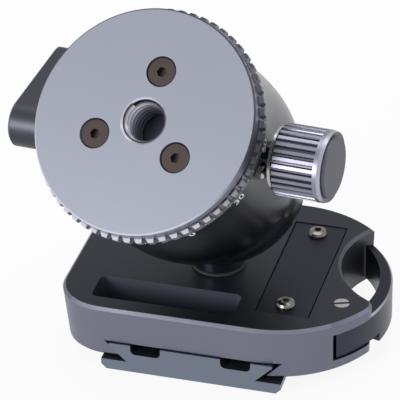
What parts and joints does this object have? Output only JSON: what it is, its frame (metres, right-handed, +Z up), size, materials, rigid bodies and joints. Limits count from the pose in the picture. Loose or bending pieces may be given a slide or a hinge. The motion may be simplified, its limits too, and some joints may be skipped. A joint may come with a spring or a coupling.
{
  "type": "tripod ball head",
  "caption": "Ball head with a panning coin-edged base, a winged lock knob, a ridged pan knob and a lever clamp holding a dovetail camera plate.",
  "frame": {"origin": "middle of the camera plate's resting face, on the camera screw's axis", "axes": "+X along the clamp towards its lever, +Y the way the plate slides, +Z up through the clamp towards the ball"},
  "size_m": [0.0827, 0.0813, 0.0909],
  "materials": {
    "dark_anodised": "satin dark grey-blue anodised",
    "slate_anodised": "satin slate anodised, side walls",
    "plate_anodised": "satin blue-grey anodised",
    "base_anodised": "fine satin light blue-grey anodised face",
    "ball_anodised": "smooth satin black anodised",
    "knob_anodised": "satin grey anodised",
    "cap_anodised": "fine blasted dark grey",
    "black_steel": "black oxide steel",
    "stainless": "bright stainless steel",
    "spring_steel": "spring steel",
    "brass": "plain brass",
    "nylon": "natural nylon",
    "bearing_plastic": "black low-friction plastic",
    "rubber": "black rubber"
  },
  "bodies": {
    "camera_plate": {"camera_plate": "plate_anodised"},
    "screw_carrier": {"screw_ring": "rubber"},
    "camera_screw": {"camera_screw": "stainless"},
    "clamp": {"clamp_body": "dark_anodised", "lever_catch": "stainless", "jaw_cover": "dark_anodised", "cover_screw_1": "stainless", "cover_screw_2": "stainless", "lever_pin": "stainless", "jaw_spring_1": "spring_steel", "jaw_spring_2": "spring_steel"},
    "jaw": {"moving_jaw": "plate_anodised", "cam_follower": "stainless"},
    "lever": {"lever": "slate_anodised"},
    "ball": {"ball_stem": "ball_anodised", "clamp_screw": "black_steel", "stem_washer": "bearing_plastic"},
    "head": {"housing": "dark_anodised", "index_pin": "stainless", "pressure_cup": "brass", "cup_spring": "spring_steel", "pan_brake_pad": "nylon", "pan_bearing": "bearing_plastic", "lock_washer": "bearing_plastic"},
    "lock_knob": {"lock_knob": "knob_anodised", "lock_spindle": "stainless"},
    "pan_knob": {"pan_knob": "knob_anodised", "pan_cap": "cap_anodised", "pan_washer": "stainless", "pan_spindle": "stainless"},
    "base": {"base_plate": "base_anodised", "scale_ring": "dark_anodised", "pan_hub": "plate_anodised", "base_screw_1": "black_steel", "base_screw_2": "black_steel", "base_screw_3": "black_steel"}
  },
  "joints": [
    {"name": "plate_slide", "type": "slide", "parent": "camera_plate", "child": "clamp", "axis": [0, 1, 0], "range_m": [-0.052, 0.052]},
    {"name": "screw_slide", "type": "slide", "parent": "camera_plate", "child": "screw_carrier", "axis": [0, 1, 0], "range_m": [-0.01, 0.01]},
    {"name": "camera_screw_turn", "type": "hinge", "parent": "screw_carrier", "child": "camera_screw", "pos_m": [0, 0, 0.003], "axis": [0, 0, 1], "continuous": true},
    {"name": "lever_swing", "type": "hinge", "parent": "clamp", "child": "lever", "pos_m": [0.0312, -0.0114, 0.0095], "axis": [0, 0, -1], "range_deg": [0, 60]},
    {"name": "jaw_travel", "type": "slide", "parent": "clamp", "child": "jaw", "axis": [1, 0, 0], "range_m": [0, 0.0016], "deforming": ["jaw_spring_1", "jaw_spring_2"]},
    {"name": "ball_swivel", "type": "hinge", "parent": "clamp", "child": "ball", "pos_m": [0, -0.002, 0.0395], "axis": [0, 0, 1], "continuous": true},
    {"name": "ball_tilt", "type": "hinge", "parent": "ball", "child": "head", "pos_m": [0, -0.002, 0.0395], "axis": [-0.9871, 0.1599, 0], "range_deg": [0, 130]},
    {"name": "pan", "type": "hinge", "parent": "head", "child": "base", "pos_m": [-0.00524, -0.03438, 0.0703], "axis": [-0.1165, -0.7196, 0.6845], "continuous": true},
    {"name": "lock_knob_turn", "type": "hinge", "parent": "head", "child": "lock_knob", "pos_m": [-0.03654, -0.01518, 0.05492], "axis": [-0.9913, 0.1267, -0.0356], "range_deg": [-30, 240]},
    {"name": "pan_knob_turn", "type": "hinge", "parent": "head", "child": "pan_knob", "pos_m": [0.02783, -0.03009, 0.0635], "axis": [0.9913, -0.1267, 0.0356], "range_deg": [-45, 315]}
  ],
  "couplings": [
    {"joint": "jaw_travel", "follows": "lever_swing", "m_per_rad": 0.0015279}
  ]
}
